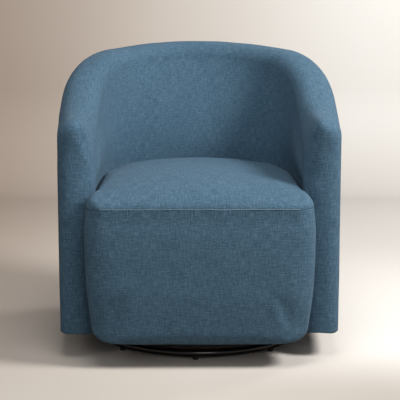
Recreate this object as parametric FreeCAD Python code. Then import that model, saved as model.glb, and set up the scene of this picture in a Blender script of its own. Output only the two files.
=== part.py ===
"""A swivel rocker: an upholstered barrel armchair that turns and rocks on a round steel tube base.

Millimetres, +Z up, the chair faces -Y. The origin is on the floor under the swivel axis.
"""

import FreeCAD
import Part
import math
import os

# Overall sizes
overall_width = 736.0
overall_depth = 762.0
overall_height = 788.0
underside_height = 62.0

# Barrel: the wrap-around back and arms
arm_height = 598.0
arm_setback = 106.0
arm_taper = 18.0
arm_nose_drop = 8.0
arm_nose_length = 70.0
arm_thickness = 91.0
side_thickness = 106.0
back_top_thickness = 115.0
back_seat_thickness = 178.0
barrel_squareness = 2.9
slope_start_y = -195.0
slope_end_y = 235.0
back_crown_rise = 40.0
rim_outer_radius = 42.0
rim_inner_radius = 46.0
facing_thickness = 36.0
facing_edge_radius = 22.0
outer_panel_thickness = 14.0
rim_seam_drop = 62.0
back_knee_height = 440.0
panel_seam_angle = 42.0
loft_steps_side = 4
loft_steps_back = 8

# Seat cushion and front apron
seat_seam_height = 400.0
cushion_clearance = 3.0
block_arm_lap = 24.0
block_seam_tuck = 6.0
block_foot_tuck = 15.0
block_bow_height = 335.0
block_corner_radius = 46.0
block_foot_radius = 50.0
block_arm_gap = 2.0
apron_thickness = 51.0
apron_side_thickness = 21.0

# The seat's crown: place, rise over the seam, and fall from the middle to the shoulder. The lip's places are
# distances behind the front, and the crown's are shares of the seat's depth
lip_profile = [(0.0, 2.0, 1.0), (4.0, 13.0, 3.0), (14.0, 24.0, 7.0), (38.0, 39.0, 12.0), (74.0, 51.0, 17.0)]
lip_back_rise = 58.0
lip_back_fall = 20.0
crown_profile = [(0.308, 65.0, 24.0), (0.514, 70.0, 28.0), (0.685, 70.0, 28.0), (0.788, 69.0, 26.0)]
crown_back_profile = [(0.873, 65.0, 20.0), (0.933, 58.0, 13.0), (0.973, 46.0, 6.0)]
lip_shoulder_radius = 30.0
crown_shoulder_radius = 14.0

# Timber frame
board_thickness = 18.0
rail_thickness = 28.0
curved_rail_thickness = 25.0
tongue_clearance = 2.0
top_rail_depth = 55.0
post_width = 40.0
post_thickness = 21.0
post_gap = 1.0
seat_rail_height = 143.0
seat_rail_arm_gap = 9.0
seat_rail_back_gap = 35.0
corner_block_leg = 62.0
corner_block_height = 70.0
corner_block_drop = 8.0
dust_cover_thickness = 1.2
dust_cover_recess = 2.0
dust_cover_hole_radius = 176.0

# Seat suspension
seat_spring_count = 5
seat_spring_spacing = 80.0
seat_spring_wire_radius = 1.9
seat_spring_half_width = 24.0
seat_spring_loop_radius = 11.5
clip_width = 18.0
clip_length = 14.0
clip_height = 8.0
insulator_thickness = 5.0

# Tube base
ring_radius = 272.0
tube_radius = 9.5
tube_wall = 1.5
foot_count = 8
foot_height = 7.0
foot_radius = 6.5
base_turn_deg = -2.3
spoke_count = 4
spoke_inner_radius = 36.0
hub_plate_radius = 92.0
hub_plate_thickness = 5.0
weld_flat = 1.0

# Swivel bearing
race_inner_radius = 58.0
race_outer_radius = 82.0
race_thickness = 4.0
ball_radius = 4.0
ball_count = 18
ball_groove_depth = 1.5
ball_clearance = 0.3
cage_thickness = 1.8
cage_half_width = 7.0
king_pin_radius = 8.0
king_pin_head_radius = 13.0
king_pin_head_height = 10.0
running_clearance = 0.05
swivel_bush_wall = 4.0
bush_flange_width = 6.0
bush_flange_thickness = 2.0
thrust_gap = 0.3
king_washer_radius = 17.0
king_washer_thickness = 3.0
king_nut_height = 12.0
king_pin_tail = 3.0

# Rocker mechanism
yoke_plate_length = 220.0
yoke_plate_width = 224.0
yoke_plate_thickness = 5.0
yoke_ear_half_spacing = 107.0
ear_thickness = 5.0
ear_half_width = 32.0
ear_eye_radius = 18.0
axle_height = 100.0
axle_radius = 8.0
axle_overhang = 5.0
axle_bush_wall = 3.0
axle_bush_flange_width = 4.0
ear_gap = 5.0
axle_clip_radius = 12.0
axle_clip_thickness = 2.0
rocker_plate_length = 300.0
rocker_plate_width = 250.0
rocker_plate_thickness = 4.0
rocker_plate_rise = 31.0
rock_limit_deg = 6.0
spring_x = 70.0
spring_y = 85.0
spring_coil_radius = 17.0
spring_wire_radius = 2.6
spring_turns = 6
cup_radius = 22.0
cup_thickness = 2.0
cup_boss_radius = 13.0
cup_boss_height = 7.0
bumper_y = 98.0
bumper_radius = 8.0
bumper_cap_radius = 9.5
bumper_cap_height = 16.0
bumper_clearance = 0.6
bolt_x = 135.0
bolt_y = 105.0
bolt_radius = 4.0
bolt_hole_clearance = 0.25
bolt_head_radius = 7.5
bolt_head_height = 5.3
flange_nut_radius = 9.0
flange_nut_height = 7.0
bolt_tail = 3.0

# Levels and places worked out from the sizes above
half_width = overall_width / 2
front_y = -overall_depth / 2
back_centre_y = overall_depth / 2 - half_width
arm_front_y = front_y + arm_setback
arm_length = back_centre_y - arm_front_y
side_radius = (arm_length**2 + arm_taper**2) / (2 * arm_taper)
side_centre_x = half_width - side_radius
side_sweep = math.asin(arm_length / side_radius)
side_arc_length = side_radius * side_sweep
frame_outer = outer_panel_thickness
frame_inner = frame_outer + curved_rail_thickness

tube_z = foot_height + tube_radius
hub_bottom = tube_z + tube_radius - weld_flat
lower_race_bottom = hub_bottom + hub_plate_thickness
lower_race_top = lower_race_bottom + race_thickness
ball_z = lower_race_top - ball_groove_depth + ball_radius
upper_race_bottom = ball_z + ball_radius - ball_groove_depth
yoke_bottom = upper_race_bottom + race_thickness
yoke_top = yoke_bottom + yoke_plate_thickness
rocker_plate_bottom = axle_height + rocker_plate_rise
rocker_plate_top = rocker_plate_bottom + rocker_plate_thickness
board_bottom = rocker_plate_top
board_top = board_bottom + board_thickness
seat_rail_top = board_top + seat_rail_height
spring_level = seat_rail_top + clip_height / 2
insulator_bottom = seat_rail_top + clip_height
cushion_bottom = insulator_bottom + insulator_thickness
dust_cover_bottom = underside_height + dust_cover_recess
dust_cover_top = dust_cover_bottom + dust_cover_thickness
pad_bottom = seat_rail_top

seat_back_y = back_centre_y + half_width - back_seat_thickness
seat_depth = seat_back_y - front_y
arm_inside = half_width - arm_taper - arm_thickness
seat_rail_half_spacing = arm_inside - seat_rail_arm_gap
seat_back_rail_y = seat_back_y - seat_rail_back_gap
block_half_width = arm_inside + block_arm_lap
block_seam_half_width = block_half_width - block_seam_tuck
block_low_half_width = block_half_width - block_foot_tuck
foot_half_width = block_low_half_width - block_foot_radius
foot_turn_height = underside_height + block_foot_radius
apron_back_y = front_y + apron_thickness
front_board_back_y = apron_back_y + board_thickness
pocket_half_width = block_half_width - apron_side_thickness
ear_outer_face = yoke_ear_half_spacing + ear_gap + ear_thickness

Z_AXIS = FreeCAD.Vector(0, 0, 1)
X_AXIS = FreeCAD.Vector(1, 0, 0)


def vec(x, y, z):
    return FreeCAD.Vector(x, y, z)


def box(x0, x1, y0, y1, z0, z1):
    return Part.makeBox(x1 - x0, y1 - y0, z1 - z0, vec(x0, y0, z0))


def rod(radius, height, x, y, z, axis=Z_AXIS):
    return Part.makeCylinder(radius, height, vec(x, y, z), axis)


def tube(outer, inner, height, x, y, z, axis=Z_AXIS):
    return rod(outer, height, x, y, z, axis).cut(rod(inner, height, x, y, z, axis))


def hex_prism(radius, height, x, y, z):
    corners = [
        vec(x + radius * math.cos(math.radians(60 * k)), y + radius * math.sin(math.radians(60 * k)), z)
        for k in range(7)
    ]
    return Part.Face(Part.makePolygon(corners)).extrude(vec(0, 0, height))


def prism(edges, z0, z1):
    """A solid on a closed plan outline, whose edges lie at z = 0."""
    face = Part.Face(Part.Wire(Part.__sortEdges__(edges)))
    return face.extrude(vec(0, 0, z1 - z0)).translate(vec(0, 0, z0))


def line(p, q):
    return Part.makeLine(p, q)


def arc(p, middle, q):
    return Part.Arc(p, middle, q).toShape()


def mirrored_x(shape):
    return shape.mirror(vec(0, 0, 0), X_AXIS)


class Station:
    """A place on the barrel's outline, with the outward direction, the wall thicknesses and the rim height there."""

    def __init__(self, x, y, nx, ny, seat_thickness, top_thickness):
        self.x, self.y, self.nx, self.ny = x, y, nx, ny
        self.seat_thickness, self.top_thickness = seat_thickness, top_thickness
        self.height = rim_height(y)

    def at(self, inward, z):
        return vec(self.x - self.nx * inward, self.y - self.ny * inward, z)

    def other_side(self):
        return Station(-self.x, self.y, -self.nx, self.ny, self.seat_thickness, self.top_thickness)


def rim_height(y):
    """The rim crowns at the back, sweeps down the sides and rounds off at the arm's nose."""
    t = min(1.0, max(0.0, (y - slope_start_y) / (slope_end_y - slope_start_y)))
    sweep = (overall_height - back_crown_rise - arm_height) * t * t * (3 - 2 * t)
    crown = back_crown_rise * (max(0.0, y) / (overall_depth / 2)) ** 2
    height = arm_height + sweep + crown
    nose = max(0.0, (arm_front_y + arm_nose_length - y) / arm_nose_length)
    return height - arm_nose_drop * nose * nose


def side_station(from_front):
    """A station on the right arm, at a distance along its outline from the arm's front."""
    share = 1 - from_front / side_arc_length
    angle = -side_sweep * share
    nx, ny = math.cos(angle), math.sin(angle)
    thickness = side_thickness + (arm_thickness - side_thickness) * share
    return Station(
        side_centre_x + side_radius * nx, back_centre_y + side_radius * ny, nx, ny, thickness, thickness
    )


def back_station(angle_deg):
    """A station on the round back, by its angle from +X. At 90 degrees it's the middle of the back."""
    c, s = math.cos(math.radians(angle_deg)), math.sin(math.radians(angle_deg))
    inner_half = half_width - side_thickness
    inner_back = half_width - back_seat_thickness
    n = barrel_squareness
    inner_radius = (abs(c / inner_half) ** n + abs(s / inner_back) ** n) ** (-1 / n)
    top = back_top_thickness + (side_thickness - back_top_thickness) * c * c
    return Station(half_width * c, back_centre_y + half_width * s, c, s, half_width - inner_radius, top)


def right_stations():
    """Stations from behind the right arm's facing to the side's widest point."""
    step = (side_arc_length - facing_thickness) / loft_steps_side
    return [side_station(facing_thickness + k * step) for k in range(loft_steps_side)]


def barrel_stations():
    """All the stations, from behind the right arm's facing round the back to the left arm."""
    side = right_stations()
    back = [back_station(90.0 * k / loft_steps_back) for k in range(2 * loft_steps_back + 1)]
    return side + back + [s.other_side() for s in reversed(side)]


def section(points):
    """A closed wire. Each entry is a point, or a pair of the point halfway round an arc and the arc's end."""
    edges, start = [], points[0]
    for entry in points[1:] + [points[0]]:
        if isinstance(entry, tuple):
            edges.append(arc(start, entry[0], entry[1]))
            start = entry[1]
        else:
            edges.append(line(start, entry))
            start = entry
    return Part.Wire(edges)


def loft(wires, ruled=False):
    return Part.makeLoft(wires, True, ruled)


def rim_corners(s):
    """The rolled rim from the outer wall over the top to the inner wall."""
    half = 1 - math.sqrt(0.5)
    ro, ri, t, h = rim_outer_radius, rim_inner_radius, s.top_thickness, s.height
    return [
        s.at(0, h - ro),
        (s.at(half * ro, h - half * ro), s.at(ro, h)),
        s.at(t - ri, h),
        (s.at(t - half * ri, h - half * ri), s.at(t, h - ri)),
    ]


def full_section(s, bottom):
    """The whole wall of the barrel at a station, from its outside over the rim to its inside."""
    inner_wall = [s.at(s.seat_thickness, back_knee_height), s.at(s.seat_thickness, bottom)]
    return section([s.at(0, bottom)] + rim_corners(s) + inner_wall)


def outline_arcs(inward):
    """The right half's two arcs at a distance inside the barrel's outline, and the first one's start."""
    start = side_station(facing_thickness)
    middle = side_station((facing_thickness + side_arc_length) / 2)
    widest, corner, back = back_station(0), back_station(45), back_station(90)
    side = arc(start.at(inward, 0), middle.at(inward, 0), widest.at(inward, 0))
    round_back = arc(widest.at(inward, 0), corner.at(inward, 0), back.at(inward, 0))
    return [side, round_back], start.at(inward, 0)


def wall(outer, inner, z0, z1):
    """An upright wall behind the facings, between two distances inside the barrel's outline."""
    outer_arcs, outer_start = outline_arcs(outer)
    inner_arcs, inner_start = outline_arcs(inner)
    right = outer_arcs + inner_arcs + [line(outer_start, inner_start)]
    return prism(right + [mirrored_x(e) for e in right], z0, z1)


def under_rim(drop):
    """Everything lower than the rim's line by a drop. The rim's height depends only on y."""
    reach = overall_depth
    steps = 4 * loft_steps_back
    ys = [front_y + overall_depth * k / steps for k in range(steps + 1)]
    curve = Part.BSplineCurve()
    curve.interpolate([vec(-reach, y, rim_height(y) - drop) for y in ys])
    first, last = curve.StartPoint, curve.EndPoint
    low_first, low_last = vec(-reach, first.y, 0), vec(-reach, last.y, 0)
    edges = [curve.toShape(), line(last, low_last), line(low_last, low_first), line(low_first, first)]
    return Part.Face(Part.Wire(edges)).extrude(vec(2 * reach, 0, 0))


def inner_padding():
    """The foam and fabric of the inside of the barrel, with the rolled rim that caps the frame."""
    whole = loft([full_section(s, pad_bottom) for s in barrel_stations()])
    frame_space = wall(-outer_panel_thickness, frame_inner, 0, overall_height)
    return whole.cut(frame_space.common(under_rim(rim_seam_drop)))


def arm_facing():
    """The padded front end of the right arm."""
    front, back = side_station(0), side_station(facing_thickness)
    body = loft([full_section(front, underside_height), full_section(back, underside_height)], ruled=True)
    forward = vec(front.ny, -front.nx, 0)
    foremost = max(body.Faces, key=lambda f: f.CenterOfMass.dot(forward))
    return body.makeFillet(facing_edge_radius, foremost.Edges[:])


def outer_panels():
    """The three outside covers, which meet in upright seams at the back corners."""
    whole = wall(0, outer_panel_thickness, underside_height, overall_height).common(under_rim(rim_seam_drop))
    angle = math.radians(panel_seam_angle)
    reach = overall_width
    right = vec(reach * math.cos(angle), back_centre_y + reach * math.sin(angle), 0)
    centre, left = vec(0, back_centre_y, 0), vec(-right.x, right.y, 0)
    back_wedge = Part.Face(Part.makePolygon([centre, right, left, centre])).extrude(vec(0, 0, overall_height))
    sides = whole.cut(back_wedge).Solids
    right_panel = max(sides, key=lambda p: p.CenterOfMass.x)
    return right_panel, whole.common(back_wedge), mirrored_x(right_panel)


def top_rail():
    """The curved rail that carries the rim."""
    band = under_rim(rim_seam_drop).cut(under_rim(rim_seam_drop + top_rail_depth))
    return wall(frame_outer, frame_inner, underside_height, overall_height).common(band)


def bottom_rail():
    """The curved rail round the foot of the barrel, under the base board."""
    return wall(frame_outer, frame_inner, dust_cover_top, board_bottom)


def tongue_half_width():
    """Half the room between the two arm facings."""
    ends = [side_station(0), side_station(facing_thickness)]
    return min(s.at(s.seat_thickness, 0).x for s in ends) - tongue_clearance


def deck_outline(tongue):
    """The plan of the base board or dust cover: the barrel's inside, with a tongue forward to the front board."""
    arcs, start = outline_arcs(frame_outer)
    behind_facing = side_station(facing_thickness)
    notch = behind_facing.at((behind_facing.x - tongue) / behind_facing.nx, 0)
    shoulder = vec(notch.x, front_board_back_y, 0)
    right = arcs + [line(start, notch), line(notch, shoulder)]
    return right + [mirrored_x(e) for e in right] + [line(shoulder, vec(-shoulder.x, shoulder.y, 0))]


def post(s, rail):
    """An upright of the barrel, from the base board to the underside of the top rail."""
    depth = frame_outer + (curved_rail_thickness - post_thickness) / 2
    along = vec(-s.ny, s.nx, 0).multiply(post_width / 2)
    corners = [
        s.at(depth, board_top) - along,
        s.at(depth, board_top) + along,
        s.at(depth + post_thickness, board_top) + along,
        s.at(depth + post_thickness, board_top) - along,
    ]
    height = s.height - rim_seam_drop - top_rail_depth / 2 - board_top
    solid = Part.Face(Part.makePolygon(corners + corners[:1])).extrude(vec(0, 0, height))
    pieces = solid.cut(rail).Solids
    return min(pieces, key=lambda p: p.BoundBox.ZMin)


def posts(rail):
    front = side_station(facing_thickness + post_gap + post_width / 2)
    found = {"back_post": post(back_station(90), rail)}
    for name, s in (("arm_post", front), ("side_post", back_station(0)), ("corner_post", back_station(45))):
        found["right_" + name] = post(s, rail)
        found["left_" + name] = mirrored_x(found["right_" + name])
    return found


def bolt_places():
    return [(sx * bolt_x, sy * bolt_y) for sx in (-1, 1) for sy in (-1, 1)]


def base_board():
    board = prism(deck_outline(tongue_half_width()), board_bottom, board_top)
    for x, y in bolt_places():
        board = board.cut(rod(bolt_radius + bolt_hole_clearance, board_thickness, x, y, board_bottom))
    return board


def dust_cover():
    """The black cloth under the frame, open round the mechanism."""
    cover = prism(deck_outline(foot_half_width), dust_cover_bottom, dust_cover_top)
    hole = rod(dust_cover_hole_radius, dust_cover_thickness, 0, 0, dust_cover_bottom)
    return cover.cut(hole)


def front_board():
    """The board behind the apron, narrower at its foot, where the apron's corners turn under."""
    x, foot = pocket_half_width, foot_half_width
    wide = box(-x, x, apron_back_y, front_board_back_y, foot_turn_height, seat_rail_top)
    narrow = box(-foot, foot, apron_back_y, front_board_back_y, dust_cover_top, foot_turn_height)
    return wide.fuse(narrow).removeSplitter()


def seat_rails():
    """The box of rails on the base board that carries the seat springs. The front board is its front side."""
    x, y = seat_rail_half_spacing, seat_back_rail_y
    inner_x, inner_y = x - rail_thickness, y - rail_thickness
    side = box(inner_x, x, front_board_back_y, inner_y, board_top, seat_rail_top)
    return {
        "right_seat_rail": side,
        "left_seat_rail": mirrored_x(side),
        "back_seat_rail": box(-x, x, inner_y, y, board_top, seat_rail_top),
        "front_board": front_board(),
    }


def corner_blocks():
    """Glued triangular blocks that square up the seat rails."""
    x = seat_rail_half_spacing - rail_thickness
    top = seat_rail_top - corner_block_drop
    solids = []
    for y, way in ((front_board_back_y, 1), (seat_back_rail_y - rail_thickness, -1)):
        corners = [
            vec(x, y, top - corner_block_height),
            vec(x - corner_block_leg, y, top - corner_block_height),
            vec(x, y + way * corner_block_leg, top - corner_block_height),
        ]
        block = Part.Face(Part.makePolygon(corners + corners[:1])).extrude(vec(0, 0, corner_block_height))
        solids += [block, mirrored_x(block)]
    return Part.makeCompound(solids)


def seat_spring_places():
    middle = (seat_spring_count - 1) / 2
    return [(k - middle) * seat_spring_spacing for k in range(seat_spring_count)]


def seat_spring():
    """One zigzag spring wire along Y, at x = 0: cross runs joined by half-round bends."""
    start = (apron_back_y + front_board_back_y) / 2
    end = seat_back_rail_y - rail_thickness / 2
    runs = 2 * int((end - start) / (4 * seat_spring_loop_radius)) + 1
    pitch = (end - start) / (runs - 1)
    reach = seat_spring_half_width - pitch / 2
    edges = []
    for k in range(runs):
        y, way = start + k * pitch, 1 if k % 2 == 0 else -1
        p, q = vec(-way * reach, y, spring_level), vec(way * reach, y, spring_level)
        edges.append(line(p, q))
        if k < runs - 1:
            bend = vec(way * (reach + pitch / 2), y + pitch / 2, spring_level)
            edges.append(arc(q, bend, vec(q.x, y + pitch, spring_level)))
    first = vec(-reach, start, spring_level)
    ring = Part.Wire(Part.Circle(first, X_AXIS, seat_spring_wire_radius).toShape())
    return Part.Wire(edges).makePipeShell([ring], True, False)


def seat_suspension():
    """The zigzag springs, and the clips that hold their ends on the front board and the back rail."""
    spring = seat_spring()
    front = (apron_back_y + front_board_back_y) / 2
    back = seat_back_rail_y - rail_thickness / 2
    half_x, half_y = clip_width / 2, clip_length / 2
    springs, clips = [], []
    for x in seat_spring_places():
        moved = spring.copy().translate(vec(x, 0, 0))
        springs.append(moved)
        for y in (front, back):
            clip = box(x - half_x, x + half_x, y - half_y, y + half_y, seat_rail_top, insulator_bottom)
            bore = rod(seat_spring_wire_radius, clip_width, x - half_x, y, spring_level, X_AXIS)
            clips.append(clip.cut(bore))
    return Part.makeCompound(springs), Part.makeCompound(clips)


def facing_front_y(x):
    """How far back the arm facing's front lies, at a distance from the middle."""
    front = side_station(0)
    return front.at((front.x - x) / front.nx, 0).y


def inside_curve():
    """The right half of the seat's edge along the barrel's inside, as arcs from the facing to the back."""
    side = [side_station(share * side_arc_length) for share in (0, 0.5)]
    places = side + [back_station(a) for a in range(0, 91, 15)]
    points = [s.at(s.seat_thickness + cushion_clearance, 0) for s in places]
    return [arc(*points[k : k + 3]) for k in range(0, len(points) - 2, 2)], points[0]


def cushion_plan(front):
    """The seat's plan between the arms, from a front line back along the barrel's inside."""
    curve, start = inside_curve()
    corner = vec(start.x, front, 0)
    right = curve + [line(corner, start)]
    return right + [mirrored_x(e) for e in right] + [line(corner, vec(-corner.x, front, 0))]


def inside_half_width(y):
    """Half the room between the arms at seat level."""
    inner_half = half_width - side_thickness
    inner_back = half_width - back_seat_thickness
    if y < back_centre_y:
        front = side_station(0)
        arm_inner = front.at(front.seat_thickness, 0).x
        share = (back_centre_y - y) / arm_length
        return inner_half + (arm_inner - inner_half) * share
    n = barrel_squareness
    return inner_half * (1 - ((y - back_centre_y) / inner_back) ** n) ** (1 / n)


def block_plan(half, back_y):
    """The plan of the seat block's front, with rounded corners."""
    r = block_corner_radius
    turn = r * (1 - math.sqrt(0.5))
    side_end, front_end = vec(half, front_y + r, 0), vec(half - r, front_y, 0)
    right = [
        line(vec(half, back_y, 0), side_end),
        arc(side_end, vec(half - turn, front_y + turn, 0), front_end),
    ]
    front = line(front_end, vec(-front_end.x, front_y, 0))
    return right + [mirrored_x(e) for e in right] + [front, line(vec(half, back_y, 0), vec(-half, back_y, 0))]


def crown_section(behind, rise, fall, half, shoulder):
    """The seat's top across the chair, from the seam's level up over both shoulders and the crown."""
    y, base = front_y + behind, seat_seam_height
    r = min(shoulder, 0.8 * (rise - fall))
    edge, turn = base + rise - fall, r * (1 - math.sqrt(0.5))
    return section(
        [
            vec(-half, y, base),
            vec(-half, y, edge - r),
            (vec(turn - half, y, edge - turn), vec(r - half, y, edge)),
            (vec(0, y, base + rise), vec(half - r, y, edge)),
            (vec(half - turn, y, edge - turn), vec(half, y, edge - r)),
            vec(half, y, base),
        ]
    )


def lip_half_width(behind):
    """Half the lip's width at a distance behind the front, round the block's corner."""
    r = block_corner_radius
    return block_seam_half_width - r + math.sqrt(r**2 - max(0.0, r - behind) ** 2)


def seat_cushion():
    """The seat's foam and top cover: a block between the arms, a crown, and a lip over the apron."""
    notch_y = facing_front_y(block_half_width) - block_arm_gap
    notch = (notch_y - front_y, lip_back_rise, lip_back_fall)
    lip_wires = [
        crown_section(*p, lip_half_width(p[0]), lip_shoulder_radius) for p in lip_profile + [notch]
    ]
    crown_wires = []
    rows = [(share * seat_depth, rise, fall) for share, rise, fall in crown_profile + crown_back_profile]
    for p in [notch] + rows:
        half = inside_half_width(front_y + p[0]) - cushion_clearance
        crown_wires.append(crown_section(*p, half, crown_shoulder_radius))
    block = prism(cushion_plan(apron_back_y), cushion_bottom, seat_seam_height)
    return block.fuse([loft(lip_wires), loft(crown_wires)]).removeSplitter()


def front_apron():
    """The padded front of the seat block, hollow behind for the front board."""
    side_low = foot_turn_height
    turn = block_foot_radius * (1 - math.sqrt(0.5))
    low = block_low_half_width
    right = [
        arc(
            vec(block_seam_half_width, 0, seat_seam_height),
            vec(block_half_width, 0, block_bow_height),
            vec(low, 0, side_low),
        ),
        arc(
            vec(low, 0, side_low),
            vec(low - turn, 0, underside_height + turn),
            vec(foot_half_width, 0, underside_height),
        ),
    ]
    ends = [
        line(vec(foot_half_width, 0, underside_height), vec(-foot_half_width, 0, underside_height)),
        line(vec(block_seam_half_width, 0, seat_seam_height), vec(-block_seam_half_width, 0, seat_seam_height)),
    ]
    edges = right + [mirrored_x(e) for e in right] + ends
    face = Part.Face(Part.Wire(Part.__sortEdges__(edges)))
    front_view = face.extrude(vec(0, overall_depth, 0)).translate(vec(0, front_y, 0))
    back = facing_front_y(block_half_width) - block_arm_gap
    body = prism(block_plan(block_half_width, back), underside_height, seat_seam_height)
    x = pocket_half_width
    return body.common(front_view).cut(box(-x, x, apron_back_y, back, underside_height, seat_seam_height))


def insulator_pad():
    return prism(cushion_plan(apron_back_y), insulator_bottom, cushion_bottom)


def around(count, radius, offset_deg=0.0):
    """Places evenly spaced on a circle round the swivel axis, from the front, as x, y and the angle."""
    found = []
    for k in range(count):
        a = math.radians(base_turn_deg + offset_deg + 360.0 * k / count)
        found.append((radius * math.sin(a), -radius * math.cos(a), a))
    return found


def ring_solid():
    return Part.makeTorus(ring_radius, tube_radius, vec(0, 0, tube_z), Z_AXIS)


def base_ring():
    return ring_solid().cut(Part.makeTorus(ring_radius, tube_radius - tube_wall, vec(0, 0, tube_z), Z_AXIS))


def spokes():
    """Tubes from the hub to the ring, with their outer ends cut to fit it and flats under the hub plate."""
    ring = ring_solid()
    plate = rod(hub_plate_radius, hub_plate_thickness, 0, 0, hub_bottom)
    solids = []
    for x, y, a in around(spoke_count, spoke_inner_radius, 180.0 / spoke_count):
        way = vec(math.sin(a), -math.cos(a), 0)
        length = ring_radius - spoke_inner_radius
        body = tube(tube_radius, tube_radius - tube_wall, length, x, y, tube_z, way)
        pieces = body.cut([ring, plate]).Solids
        solids.append(max(pieces, key=lambda p: p.Volume))
    return Part.makeCompound(solids)


def foot_pads():
    """Short pads under the ring, cut to sit against the tubes."""
    tubes = [ring_solid()] + spokes().Solids
    pads = []
    for x, y, _ in around(foot_count, ring_radius):
        pieces = rod(foot_radius, tube_z, x, y, 0).cut(tubes).Solids
        pads.append(min(pieces, key=lambda p: p.BoundBox.ZMin))
    return Part.makeCompound(pads)


def ball_torus():
    pitch = (race_inner_radius + race_outer_radius) / 2
    return Part.makeTorus(pitch, ball_radius + ball_clearance, vec(0, 0, ball_z), Z_AXIS)


def race(bottom):
    return tube(race_outer_radius, race_inner_radius, race_thickness, 0, 0, bottom).cut(ball_torus())


def ball_places():
    pitch = (race_inner_radius + race_outer_radius) / 2
    return [(x, y) for x, y, _ in around(ball_count, pitch)]


def bearing_balls():
    return Part.makeCompound([Part.makeSphere(ball_radius, vec(x, y, ball_z)) for x, y in ball_places()])


def ball_cage():
    pitch = (race_inner_radius + race_outer_radius) / 2
    bottom = ball_z - cage_thickness / 2
    cage = tube(pitch + cage_half_width, pitch - cage_half_width, cage_thickness, 0, 0, bottom)
    for x, y in ball_places():
        cage = cage.cut(rod(ball_radius + ball_clearance, cage_thickness, x, y, bottom))
    return cage


def bush_flange_top():
    return yoke_top + bush_flange_thickness


def king_pin():
    washer_top = bush_flange_top() + thrust_gap + king_washer_thickness
    top = washer_top + king_nut_height + king_pin_tail
    shank = rod(king_pin_radius, top - hub_bottom, 0, 0, hub_bottom)
    head_bottom = hub_bottom - king_pin_head_height
    return shank.fuse(hex_prism(king_pin_head_radius, king_pin_head_height, 0, 0, head_bottom)).removeSplitter()


def king_pin_washer():
    bottom = bush_flange_top() + thrust_gap
    return tube(king_washer_radius, king_pin_radius, king_washer_thickness, 0, 0, bottom)


def king_pin_nut():
    bottom = bush_flange_top() + thrust_gap + king_washer_thickness
    nut = hex_prism(king_pin_head_radius, king_nut_height, 0, 0, bottom)
    return nut.cut(rod(king_pin_radius, king_nut_height, 0, 0, bottom))


def swivel_bush():
    """A nylon bush in the yoke's middle, with a flange under the washer."""
    bore = king_pin_radius + running_clearance
    outer = king_pin_radius + swivel_bush_wall
    barrel = tube(outer, bore, yoke_plate_thickness, 0, 0, yoke_bottom)
    flange = tube(outer + bush_flange_width, bore, bush_flange_thickness, 0, 0, yoke_top)
    return barrel.fuse(flange).removeSplitter()


def ear(inner_face, bottom, top, eye_z, hole_radius):
    """An upright plate of the mechanism with a hole for the axle, rounded about the hole."""
    plate = box(inner_face, inner_face + ear_thickness, -ear_half_width, ear_half_width, bottom, top)
    eye = rod(ear_eye_radius, ear_thickness, inner_face, 0, eye_z, X_AXIS)
    hole = rod(hole_radius, ear_thickness, inner_face, 0, eye_z, X_AXIS)
    return plate.fuse(eye).cut(hole)


def swivel_yoke():
    """The turning plate on the bearing, with two ears that carry the rocker axle."""
    x, y = yoke_plate_length / 2, yoke_plate_width / 2
    plate = box(-x, x, -y, y, yoke_bottom, yoke_top)
    plate = plate.cut(rod(king_pin_radius + swivel_bush_wall, yoke_plate_thickness, 0, 0, yoke_bottom))
    right = ear(
        yoke_ear_half_spacing - ear_thickness, yoke_top, axle_height, axle_height, axle_radius
    )
    return plate.fuse([right, mirrored_x(right)]).removeSplitter()


def rocker_plate():
    """The plate under the base board, with two ears that hang on the rocker axle."""
    x, y = rocker_plate_length / 2, rocker_plate_width / 2
    plate = box(-x, x, -y, y, rocker_plate_bottom, rocker_plate_top)
    for bx, by in bolt_places():
        plate = plate.cut(
            rod(bolt_radius + bolt_hole_clearance, rocker_plate_thickness, bx, by, rocker_plate_bottom)
        )
    inner_face = yoke_ear_half_spacing + ear_gap
    right = ear(inner_face, axle_height, rocker_plate_bottom, axle_height, axle_radius + axle_bush_wall)
    return plate.fuse([right, mirrored_x(right)]).removeSplitter()


def axle_bush():
    """A flanged bush in the rocker plate's right ear."""
    bore = axle_radius + running_clearance
    inner_face = yoke_ear_half_spacing + ear_gap
    barrel = tube(axle_radius + axle_bush_wall, bore, ear_thickness, inner_face, 0, axle_height, X_AXIS)
    start = yoke_ear_half_spacing + thrust_gap
    flange = tube(axle_radius + axle_bush_wall + axle_bush_flange_width, bore, inner_face - start, start, 0, axle_height, X_AXIS)
    return barrel.fuse(flange).removeSplitter()


def rocker_axle():
    reach = ear_outer_face + thrust_gap + axle_clip_thickness + axle_overhang
    return rod(axle_radius, 2 * reach, -reach, 0, axle_height, X_AXIS)


def axle_clips():
    right = tube(
        axle_clip_radius, axle_radius, axle_clip_thickness, ear_outer_face + thrust_gap, 0, axle_height, X_AXIS
    )
    return Part.makeCompound([right, mirrored_x(right)])


def spring_places():
    return [
        (("right" if sx > 0 else "left") + ("_rear" if sy > 0 else "_front"), sx * spring_x, sy * spring_y)
        for sx in (-1, 1)
        for sy in (-1, 1)
    ]


def rocker_spring(x, y):
    """A coil spring between its two cups."""
    bottom = yoke_top + cup_thickness + spring_wire_radius + thrust_gap
    top = rocker_plate_bottom - cup_thickness - spring_wire_radius - thrust_gap
    height = top - bottom
    pitch = height / spring_turns
    helix = Part.makeHelix(pitch, height, spring_coil_radius)
    rise = math.atan2(pitch, 2 * math.pi * spring_coil_radius)
    way = vec(0, math.cos(rise), math.sin(rise))
    ring = Part.Wire(Part.Circle(vec(spring_coil_radius, 0, 0), way, spring_wire_radius).toShape())
    coil = Part.Wire(helix.Edges).makePipeShell([ring], True, True)
    return coil.translate(vec(x, y, bottom))


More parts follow.
